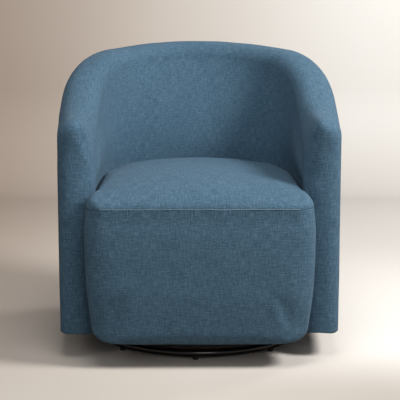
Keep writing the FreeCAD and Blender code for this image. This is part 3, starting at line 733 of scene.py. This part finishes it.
# The seat block: half widths by height, corner and foot rounding, and the wall of its front
block_half, block_seam_half, block_low_half = 0.283, 0.277, 0.268
block_corner, block_foot, block_wall = 0.046, 0.041, 0.008
bow_height, bottom_turn, block_hollow = 0.335, 0.012, 0.0515
block_recede, recede_top, front_columns = 0.010, 0.20, 120
arm_inner_half, return_depth = half_width - arm_taper - arm_thickness, 0.040
block_back_y = arm_front_y - 0.001
# Millimetres behind the front, rise over the seam, and fall from the middle to the shoulder
crown_rows = [
    (0, 2, 1), (4, 13, 3), (14, 24, 7), (38, 39, 12), (74, 51, 17), (108, 58, 20), (180, 65, 24),
    (300, 70, 28), (400, 70, 28), (460, 69, 26), (510, 65, 20), (545, 58, 13), (568, 46, 7),
    (582, 28, 3),
]


def crown_at(behind):
    root = [math.sqrt(r[0]) for r in crown_rows]
    x = math.sqrt(max(0.0, behind * 1000))
    rise = through(root, [r[1] for r in crown_rows], x)
    fall = through(root, [r[2] for r in crown_rows], x)
    return rise / 1000, fall / 1000


def inside_half(y):
    """Half the room between the arms at seat level."""
    side, back = half_width - side_thickness, half_width - back_seat_thickness
    if y < back_centre_y:
        return mix(side, arm_inner_half + 0.0007, (back_centre_y - y) / arm_length)
    n = barrel_squareness
    q = min(0.9995, (y - back_centre_y) / back)
    return side * (1 - q**n) ** (1 / n)


def seat_half(y):
    """Half the seat's width: its lip, a turn round the arms' padded ends, then between the arms."""
    behind = y - front_y
    lip = block_seam_half - block_corner
    lip += math.sqrt(block_corner**2 - max(0.0, block_corner - behind) ** 2)
    between = inside_half(y) - 0.0015
    turn_start, turn_end = arm_front_y - 0.014, arm_front_y + 0.020
    return mix(lip, between, smooth((y - turn_start) / (turn_end - turn_start)))


def seat_rows():
    rows = [block_corner * (1 - math.cos(a)) for a in quarter(10, 0)]
    rows += [0.054, 0.064, 0.074, 0.083]
    rows += [0.090 + 0.0042 * k for k in range(12)]
    start, stop = rows[-1] + 0.010, 0.505
    count = int((stop - start) / 0.0125)
    rows += [mix(start, stop, k / count) for k in range(count + 1)]
    deep = back_centre_y + (half_width - back_seat_thickness) - 0.002 - front_y
    rows += [mix(stop, deep, math.sin(a)) for a in quarter(9)]
    return [front_y + b for b in rows]


def seat_section(y):
    """Half a section across the seat, from the middle to its lowest edge, as (x, z)."""
    behind = y - front_y
    rise, fall = crown_at(behind)
    half = seat_half(y)
    shoulder = mix(0.030, 0.020, smooth((behind - 0.09) / 0.06))
    r = min(shoulder, 0.82 * (rise - fall), 0.9 * half)
    flat = half - r
    slope = math.atan2(2 * fall, flat)
    turn = r / (1 - math.sin(slope)) if slope < 1 else r
    pts = []
    for a in quarter(16, 0):
        u = math.sin(a) ** 0.85
        pts.append((flat * u, rise - fall * u * u))
    edge = pts[-1][1]
    for k in range(1, 10):
        a = mix(slope, math.pi / 2, k / 9)
        x = flat + turn * (math.sin(a) - math.sin(slope))
        z = edge - turn * (math.cos(slope) - math.cos(a))
        pts.append((min(x, half), max(z, 0.0022)))
    end = pts[-1][1]
    for k in range(1, 4):
        pts.append((half, mix(end, 0.0020, k / 3)))
    return [(x, seat_seam + z) for x, z in pts]


def seat_skirt(rim, verts, faces, uvs):
    """The seat's edge goes on down: tucked into the seam in front, straight down between the arms."""
    base = np.array([verts[i] for i in rim], float)
    tangent = np.roll(base, -1, 0) - np.roll(base, 1, 0)
    out = np.stack([tangent[:, 1], -tangent[:, 0]], -1)
    out /= np.maximum(1e-9, np.linalg.norm(out, axis=1))[:, None]
    lip = [1 - smooth((p[1] - (arm_front_y - 0.010)) / 0.012) for p in base]
    rings = [(0.0001, 0.0005, 0.010), (0.0004, 0.0002, 0.035), (0.0012, 0.0001, 0.065)]
    stitch, previous = 0.004, rim
    for inward, lift, drop in rings + [(0.0080, 0.0001, 0.0865)]:
        new = list(range(len(verts), len(verts) + len(rim)))
        for (x, y, _), (ox, oy), w in zip(base, out, lip):
            move = inward * w + 0.0004 * (1 - w)
            verts.append((x - ox * move, y - oy * move, seat_seam + lift * w - drop * (1 - w)))
        faces += ring_faces(previous, new)
        for k in range(len(rim)):
            u, v = stitch * k, -drop
            uvs.append([(u + stitch, v), (u, v), (u, v - stitch), (u + stitch, v - stitch)])
        previous = new
    return previous


def seat_floor(rim, verts, faces, uvs):
    """A plain underside closes the seat's form."""
    new = list(range(len(verts), len(verts) + len(rim)))
    for x, y, z in [verts[i] for i in rim]:
        verts.append((0.35 * x, min(seat_back_y - 0.05, max(arm_front_y + 0.02, y)), z))
    faces += ring_faces(rim, new)
    verts.append((0.0, 0.0, cushion_bottom + 0.003))
    faces += [(new[(k + 1) % len(new)], new[k], len(verts) - 1) for k in range(len(new))]
    uvs += [[(0, 0)] * 4] * len(rim) + [[(0, 0)] * 3] * len(rim)


def seat_cover():
    rows = []
    for y in seat_rows():
        right = seat_section(y)
        rows.append([(-x, y, z) for x, z in reversed(right[1:])] + [(x, y, z) for x, z in right])
    count, cols = len(rows), len(rows[0])
    mid = cols // 2
    along, across = run_of([row[mid] for row in rows]), [run_of(row) for row in rows]
    at = [(across[r][c] - across[r][mid], along[r]) for r in range(count) for c in range(cols)]
    verts = [p for row in rows for p in row]
    faces = grid_faces(count, cols)
    uvs = [[at[i] for i in f] for f in faces]
    rim = seat_skirt(border(count, cols), verts, faces, uvs)
    seat_floor(rim, verts, faces, uvs)
    obj = mesh_piece("seat_cover", verts, faces, tweed_cover, uvs, body=None)
    tidy_mesh(obj)
    return obj


def apron_half(z):
    """Half the block's width by height, in the front view."""
    low_z = underside + block_foot
    if z <= low_z:
        return block_low_half - block_foot + math.sqrt(max(0.0, block_foot**2 - (low_z - z) ** 2))
    heights = [low_z, 0.20, bow_height, seat_seam]
    return through(heights, [block_low_half, 0.2785, block_half, block_seam_half], z)


def apron_loop(z, inset, under):
    """The apron's plan at a height: outside round the front, then back along its inside."""
    half = apron_half(z) - inset
    recede = block_recede * smooth((recede_top - z) / (recede_top - underside))
    front = front_y + under + inset + recede
    corner = max(0.006, block_corner - inset)
    back = block_back_y
    step_half = min(arm_inner_half + 0.004, half - 0.005)
    tucked_half = min(arm_inner_half - 0.0025, step_half)
    heel = min(0.006, 0.8 * (half - step_half))
    step_back = back + return_depth
    pts = []
    inner_half, inner_front = tucked_half - block_wall, front_y + block_hollow
    # Right side: the return between the arms, then from the back forward
    pts.append((tucked_half, step_back))
    pts.append((step_half, mix(step_back, back, 0.55)))
    pts.append((step_half, back + 0.0012))
    pts.append((step_half + 0.0012, back))
    pts.append((mix(step_half, half - heel, 0.6), back))
    for a in quarter(4):
        pts.append((half - heel + heel * math.sin(a), back - heel + heel * math.cos(a)))
    for k in range(1, 6):
        pts.append((half, mix(back - heel, front + corner, k / 5)))
    for a in quarter(9):
        pts.append((half - corner + corner * math.cos(a), front + corner - corner * math.sin(a)))
    for k in range(1, front_columns):
        pts.append((mix(half - corner, corner - half, k / front_columns), front))
    right = len(pts)
    pts += [(-x, y) for x, y in reversed(pts[: right - front_columns + 1])]
    outer_count = len(pts)
    inside = [(-inner_half, step_back), (-inner_half, mix(step_back, inner_front, 0.5))]
    inside += [(mix(-inner_half, inner_half, k / 12), inner_front) for k in range(13)]
    inside += [(inner_half, mix(inner_front, step_back, 0.5)), (inner_half, step_back)]
    return pts + inside, outer_count


def apron_levels():
    """The heights of the apron's rings, each with how far it is drawn in at the seam."""
    tuck = ((0.0001, 0.0014), (0.0003, 0.0004), (0.0008, 0.0001), (0.0018, 0.0))
    levels = [(seat_seam - d, inset) for d, inset in tuck]
    levels += [(seat_seam - d, 0.0) for d in (0.0035, 0.0055, 0.008, 0.011, 0.015, 0.020, 0.028, 0.037)]
    start, low_z = seat_seam - 0.047, underside + block_foot
    count = int((start - low_z) / 0.011)
    levels += [(mix(start, low_z, k / count), 0.0) for k in range(count + 1)]
    return levels + [(low_z - block_foot * math.sin(a), 0.0) for a in quarter(11)]


def apron_band(outer, inner):
    """Faces between the apron's outside and its inside, which has fewer points."""
    last = len(outer) - 1
    near = [inner[round(k * (len(inner) - 1) / last)] for k in range(last + 1)]
    made = []
    for k in range(last):
        f = (outer[k], outer[k + 1], near[k + 1], near[k])
        made.append(f if f[2] != f[3] else f[:3])
    return made


def apron_cover():
    loops = []
    for z, inset in apron_levels():
        over = max(0.0, bottom_turn - (z - underside))
        under = bottom_turn - math.sqrt(max(0.0, bottom_turn**2 - over**2))
        loop, outer_count = apron_loop(z, inset, under)
        loops.append([(x, y, z) for x, y in loop])
    size, mid, waist = len(loops[0]), outer_count // 2, 20
    verts = [p for loop in loops for p in loop]
    faces = grid_faces(len(loops), size, closed=True)
    run, down = run_of(loops[waist]), run_of([loop[mid] for loop in loops])
    uvs = []
    for f in faces:
        corners = []
        for i in f:
            r, c = divmod(i, size)
            u = run[c] - run[mid]
            if c == 0 and any(j % size == size - 1 for j in f):
                u = run[size - 1] - run[mid] + 0.02
            corners.append((u, -down[r]))
        uvs.append(corners)
    for offset, flip in ((0, True), ((len(loops) - 1) * size, False)):
        outer = range(offset, offset + outer_count)
        inner = range(offset + size - 1, offset + outer_count - 1, -1)
        for f in apron_band(outer, inner):
            faces.append(f[::-1] if flip else f)
            uvs.append([(verts[i][0], verts[i][1]) for i in faces[-1]])
    obj = mesh_piece("apron_cover", verts, faces, tweed_cover, uvs, body=None)
    tidy_mesh(obj)
    return obj


def inflate(obj, held, pressure, cap):
    """Blows the cover up a little as cloth. held gives each point's hold, and cap the farthest move."""
    frames = 20
    before = points_of(obj)
    group = obj.vertex_groups.new(name="held")
    for i, w in enumerate(held(before)):
        group.add([i], float(w), "REPLACE")
    mod = obj.modifiers.new("cloth", "CLOTH")
    s = mod.settings
    s.quality = 6
    s.mass = 0.3
    s.tension_stiffness = s.compression_stiffness = 25
    s.shear_stiffness = 12
    s.bending_stiffness = 1.2
    s.use_pressure = True
    s.uniform_pressure_force = pressure
    s.vertex_group_mass = "held"
    s.effector_weights.gravity = 0
    mod.collision_settings.use_collision = False
    scene = bpy.context.scene
    for f in range(1, frames + 1):
        scene.frame_set(f)
    dg = bpy.context.evaluated_depsgraph_get()
    mesh = obj.evaluated_get(dg).to_mesh()
    after = np.zeros(len(mesh.vertices) * 3, np.float32)
    mesh.vertices.foreach_get("co", after)
    obj.evaluated_get(dg).to_mesh_clear()
    obj.modifiers.clear()
    obj.vertex_groups.clear()
    scene.frame_set(1)
    move = after.reshape(-1, 3) - before
    length = np.linalg.norm(move, axis=1)
    move *= (cap * np.tanh(length / cap) / np.maximum(length, 1e-9))[:, None]
    set_points(obj, before + move)


barrel = barrel_cover()
soften(barrel, 0.0010, 0.085)
right_seam = side_length + half_width * math.radians(panel_seam_angle)
left_seam = outline_length - right_seam
outer_right = outer_cover("right_outer_cover", facing_thickness + 0.0004, right_seam - 0.0002)
outer_back = outer_cover("back_outer_cover", right_seam + 0.0002, left_seam - 0.0002)
left_end = outline_length - facing_thickness - 0.0004
outer_left = outer_cover("left_outer_cover", left_seam + 0.0002, left_end)
seat = seat_cover()
apron = apron_cover()


def seat_held(co):
    up = (co[:, 2] - seat_seam) / 0.034
    hold = 1 - np.clip(up, 0, 1)
    return np.where(co[:, 2] < seat_seam + 0.001, 1.0, hold)


def apron_held(co):
    from_top = np.clip((seat_seam - co[:, 2]) / 0.05, 0, 1)
    front = np.clip((-(co[:, 1] - (front_y + 0.048))) / 0.01 + 0.2, 0, 1)
    side = np.clip((np.abs(co[:, 0]) - 0.255) / 0.01, 0, 1)
    free = from_top * np.maximum(front, 0.6 * side)
    return 1 - free


inflate(seat, seat_held, 1.5, 0.0035)
inflate(apron, apron_held, 0.9, 0.0040)
for piece in (seat, apron):
    mod = piece.modifiers.new("finer", "SUBSURF")
    mod.levels = mod.render_levels = 1
    apply_all(piece)
    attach(piece, "seat")
soften(seat, 0.0011, 0.07)
soften(apron, 0.0010, 0.08)


def seam_gathers():
    """Small puckers in the front panel just under the seam."""
    pitch, height = 0.0068, 0.0010
    co, nor = points_of(apron), normals_of(apron)
    depth = seat_seam - co[:, 2]
    front = (co[:, 1] < front_y + 0.03) & (depth > 0.0012) & (depth < 0.03)
    fade = np.exp(-np.maximum(0, depth - 0.003) / 0.0065) * front
    uneven = np.array([noise.noise(Vector((x * 70, 3.1, 0))) for x in co[:, 0]])
    wave = np.sin(co[:, 0] * 2 * math.pi / pitch + 5 * uneven) * (0.6 + 0.6 * uneven)
    set_points(apron, co + nor * (height * fade * wave)[:, None])


seam_gathers()


def tube_mesh(points, radius, sides=8):
    """Points and faces of a tube along a line, with closed ends."""
    pts = [Vector(p) for p in points]
    verts, faces = [], []
    up = Vector((0, 0, 1))
    for k, p in enumerate(pts):
        way = (pts[min(k + 1, len(pts) - 1)] - pts[max(k - 1, 0)]).normalized()
        side = way.cross(up)
        side = side.normalized() if side.length > 1e-6 else Vector((1, 0, 0))
        top = side.cross(way).normalized()
        for j in range(sides):
            a = 2 * math.pi * j / sides
            verts.append(p + side * (radius * math.cos(a)) + top * (radius * math.sin(a)))
    faces = grid_faces(len(pts), sides, closed=True)
    faces.append(tuple(range(sides))[::-1])
    faces.append(tuple(len(pts) * sides - sides + j for j in range(sides)))
    return verts, faces


def seam_stitches():
    """A line of short stitches just over the front seam, on the seat's lip."""
    verts, faces = [], []
    pitch, length, radius = 0.0058, 0.0048, 0.0006
    half = block_seam_half - block_corner + 0.010
    count = int(2 * half / pitch)
    co = points_of(seat)
    lip = co[(np.abs(co[:, 2] - seat_seam - 0.0015) < 0.0016) & (co[:, 1] < front_y + 0.012)]
    for k in range(count):
        x = -half + pitch * (k + 0.5)
        near = lip[np.argsort(np.abs(lip[:, 0] - x))[:6]]
        y = near[:, 1].min()
        z = seat_seam + 0.0012 + 0.0002 * math.sin(7 * k)
        line = []
        for j in range(5):
            t = j / 4
            bow = 0.0004 * math.sin(math.pi * t)
            line.append((x + length * (t - 0.5), y + 0.0002 - bow, z))
        v, f = tube_mesh(line, radius, 6)
        f = [tuple(i + len(verts) for i in q) for q in f]
        verts += v
        faces += f
    return mesh_piece("seam_stitches", verts, faces, thread)


stitches = seam_stitches()


def rocker_coil(node):
    """A coil spring as a round wire, between its cups."""
    low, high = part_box(node)
    wire, turns = 0.0026, 6
    steps = 40 * turns
    cx, cy = (low.x + high.x) / 2, (low.y + high.y) / 2
    coil = (high.x - low.x) / 2 - wire
    bottom, top = low.z + wire, high.z - wire
    pts = []
    for k in range(steps + 1):
        a = 2 * math.pi * turns * k / steps
        pts.append((cx + coil * math.cos(a), cy + coil * math.sin(a), mix(bottom, top, k / steps)))
    v, f = tube_mesh(pts, wire, 12)
    obj = mesh_piece(node + "_coil", v, f, slot_materials["spring_steel"], body=None)
    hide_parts(node)
    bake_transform(obj)


def soft_plate(node, name, step, thickness, shape):
    """A thin piece cut to a node's plan. shape gives its rise and fall over the node's middle."""
    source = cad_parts[node]
    bm = bmesh.new()
    bm.from_mesh(source.data)
    bmesh.ops.transform(bm, matrix=source.matrix_world, verts=bm.verts)
    low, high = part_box(node)
    middle = (low.z + high.z) / 2
    bm.normal_update()
    bmesh.ops.delete(bm, geom=[f for f in bm.faces if f.normal.z > -0.9], context="FACES")
    bmesh.ops.dissolve_limit(bm, angle_limit=0.01, verts=bm.verts, edges=bm.edges)
    for axis, start, stop in ((0, low.x, high.x), (1, low.y, high.y)):
        count = int((stop - start) / step)
        for k in range(1, count):
            at, way = [0.0] * 3, [0.0] * 3
            at[axis], way[axis] = mix(start, stop, k / count), 1.0
            geom = bm.verts[:] + bm.edges[:] + bm.faces[:]
            bmesh.ops.bisect_plane(bm, geom=geom, plane_co=at, plane_no=way)
    area = sum(f.calc_area() for f in bm.faces)
    edge = [v.co.copy() for v in bm.verts if v.is_boundary]
    reach = np.array([(e.x, e.y) for e in edge])
    for v in bm.verts:
        away = float(np.min(np.hypot(reach[:, 0] - v.co.x, reach[:, 1] - v.co.y)))
        v.co.z = middle + shape(v.co.x, v.co.y, away)
    bmesh.ops.solidify(bm, geom=bm.faces[:], thickness=thickness)
    bmesh.ops.recalc_face_normals(bm, faces=bm.faces)
    mesh = bpy.data.meshes.new(name)
    bm.to_mesh(mesh)
    bm.free()
    mesh.polygons.foreach_set("use_smooth", [True] * len(mesh.polygons))
    mesh.materials.append(source.material_slots[0].material)
    obj = add_object(name, mesh)
    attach(obj, "seat")
    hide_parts(node)
    return obj, area


def cambric_sag(x, y, away):
    """The black cloth hangs a little between its staples and has faint pulls toward its edges."""
    pulls, fine = noise.noise(Vector((x * 9, y * 9, 0.4))), noise.noise(Vector((x * 40, y * 40, 2)))
    return -0.0035 * smooth(away / 0.10) * (1 + 0.5 * pulls) + 0.0005 * fine


def felt_waves(x, y, away):
    """The pad lies over the spring wires, a little up and down."""
    fine, wire_gap = noise.noise(Vector((x * 30, y * 30, 5))), 0.10
    return 0.0012 * math.cos(2 * math.pi * x / wire_gap) * smooth(away / 0.03) + 0.0008 * fine


under_cloth, under_area = soft_plate("dust_cover", "under_cloth", 0.014, 0.0008, cambric_sag)
pad_low, pad_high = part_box("insulator_pad")
felt_thickness = 0.6 * (pad_high.z - pad_low.z)
felt, _ = soft_plate("insulator_pad", "spring_felt", 0.016, felt_thickness, felt_waves)

for spring in ("right_front_rocker_spring", "right_rear_rocker_spring",
               "left_front_rocker_spring", "left_rear_rocker_spring"):
    rocker_coil(spring)

for piece, fill, *nodes in (
    (barrel, 0.8, "inner_padding", "right_arm_facing", "left_arm_facing"),
    (outer_right, 0.9, "right_outer_panel"),
    (outer_left, 0.9, "left_outer_panel"),
    (outer_back, 0.9, "back_outer_panel"),
    (seat, 0.75, "seat_cushion"),
    (apron, 0.8, "front_apron"),
):
    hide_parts(*nodes)


# Floor, backdrop, light and camera

def studio_paper():
    """Warm paper with painted light and shade: lighter to the right and darker to the left, as if lit
    from the right, with the near and far floor painted darker on the right against the key light's pool
    there. It is darker for light than for the camera. Its back is clear.
    """
    m = Nodes("studio paper")
    p = m.coords()
    part = m.split(p)
    uneven = m.noise(p, (2.5, 2.5, 2.5), 3.0)
    # across runs from left to right and carries the painted light and shade of the paper's colour
    across = m.math("MULTIPLY_ADD", uneven, 0.06, m.ease(part[0], -1.4, 1.1))

    def shaded_tones(*stops):
        return m.ramp(across, [(at, rgb(*colour)) for at, *colour in stops])

    # Painted light and shade: the wall and floor get darker to the left, and the near and far floor are
    # painted darker on the right where the key light falls strongest
    wall = shaded_tones((0.04, 196, 178, 163), (0.5, 228, 218, 208), (1.0, 244, 242, 238))
    far = shaded_tones((0.04, 192, 174, 159), (0.5, 221, 211, 201), (0.9, 218, 214, 209))
    middle = shaded_tones((0.04, 192, 174, 159), (0.5, 222, 213, 204), (0.9, 235, 231, 226))
    near = shaded_tones((0.3, 205, 196, 187), (0.6, 203, 195, 186), (0.85, 182, 175, 167))
    ground = m.blend(m.ease(part[1], 0.3, 1.4), middle, far)
    ground = m.blend(m.ease(part[1], -0.6, -0.1), near, ground)
    seen = m.blend(m.ease(part[2], 0.0, 0.5), ground, wall)
    m.colour(m.blend(m.node("LightPath").outputs["Is Camera Ray"], rgb(146, 136, 127), seen))
    m.value(Roughness=0.9, Specular_IOR_Level=0.1)
    clear = m.node("MixShader")
    m.link(m.node("NewGeometry").outputs["Backfacing"], clear.inputs[0])
    m.link(m.shader.outputs[0], clear.inputs[1])
    m.link(m.node("BsdfTransparent").outputs[0], clear.inputs[2])
    m.link(clear.outputs[0], m.out.inputs[0])
    return m.mat


def sweep_backdrop():
    """A floor that curves up into a wall behind the chair."""
    wall_y, radius, wide, front, top = 2.9, 0.5, 9.0, -6.0, 6.0
    profile = [(front, 0.0), (wall_y - radius, 0.0)]
    for a in quarter(12):
        profile.append((wall_y - radius + radius * math.sin(a), radius - radius * math.cos(a)))
    profile.append((wall_y, top))
    verts = [(x, y, z) for y, z in profile for x in (-wide, wide)]
    mesh_piece("backdrop", verts, grid_faces(len(profile), 2), studio_paper(), body=None)


def area_light(name, place, target, size, power, colour):
    data = bpy.data.lights.new(name, "AREA")
    data.shape, data.size, data.energy, data.color = "DISK", size, power, colour
    obj = add_object(name, data)
    obj.location = place
    obj.rotation_euler = (Vector(target) - Vector(place)).to_track_quat("-Z", "Y").to_euler()


sweep_backdrop()
area_light("key", (1.95, -1.05, 2.15), (0.0, 0.0, 0.4), 0.9, 76, (1.0, 0.985, 0.96))
area_light("top", (0.0, -1.05, 2.6), (0.0, 0.05, 0.5), 1.3, 23, (1.0, 0.99, 0.97))
area_light("low fill", (0.3, -2.9, 1.3), (0.0, -0.2, 0.1), 1.2, 9, (1.0, 0.99, 0.98))
area_light("left fill", (-1.9, -1.9, 1.9), (0.2, 0.0, 0.5), 0.9, 4, (1.0, 0.99, 0.98))
area_light("wall wash", (2.4, 1.2, 2.6), (1.6, 2.9, 1.0), 1.2, 60, (1.0, 0.98, 0.95))

# The world is dim as a light and pale where the camera sees it
world = bpy.data.worlds.new("studio")
bpy.context.scene.world = world
world.use_nodes = True
sky_nodes, sky_links = world.node_tree.nodes, world.node_tree.links
sky = sky_nodes["Background"]
sky.inputs[0].default_value = (0.95, 0.97, 1.0, 1.0)
strength = sky_nodes.new("ShaderNodeMapRange")
strength.inputs["To Min"].default_value, strength.inputs["To Max"].default_value = 0.24, 0.80
camera_ray = sky_nodes.new("ShaderNodeLightPath").outputs["Is Camera Ray"]
sky_links.new(camera_ray, strength.inputs["Value"])
sky_links.new(strength.outputs[0], sky.inputs[1])

# The camera as fitted to the photo
elevation, distance, side_step, look_height = math.radians(8.5), 3.2, -0.035, 0.38
sensor, photo_pixels, pixels_per_metre = 36.0, 400, 281 / 0.762
aim = Vector((0.0041, -0.0020, 0.3666))
camera_data = bpy.data.cameras.new("camera")
camera_data.sensor_width = sensor
camera_data.lens = sensor * pixels_per_metre * distance / photo_pixels
camera = add_object("camera", camera_data)
camera_height = look_height + distance * math.sin(elevation)
camera.location = (side_step, -distance * math.cos(elevation), camera_height)
camera.rotation_euler = (aim - camera.location).to_track_quat("-Z", "Y").to_euler()
bpy.context.scene.camera = camera
bpy.context.scene.view_settings.view_transform = "Standard"
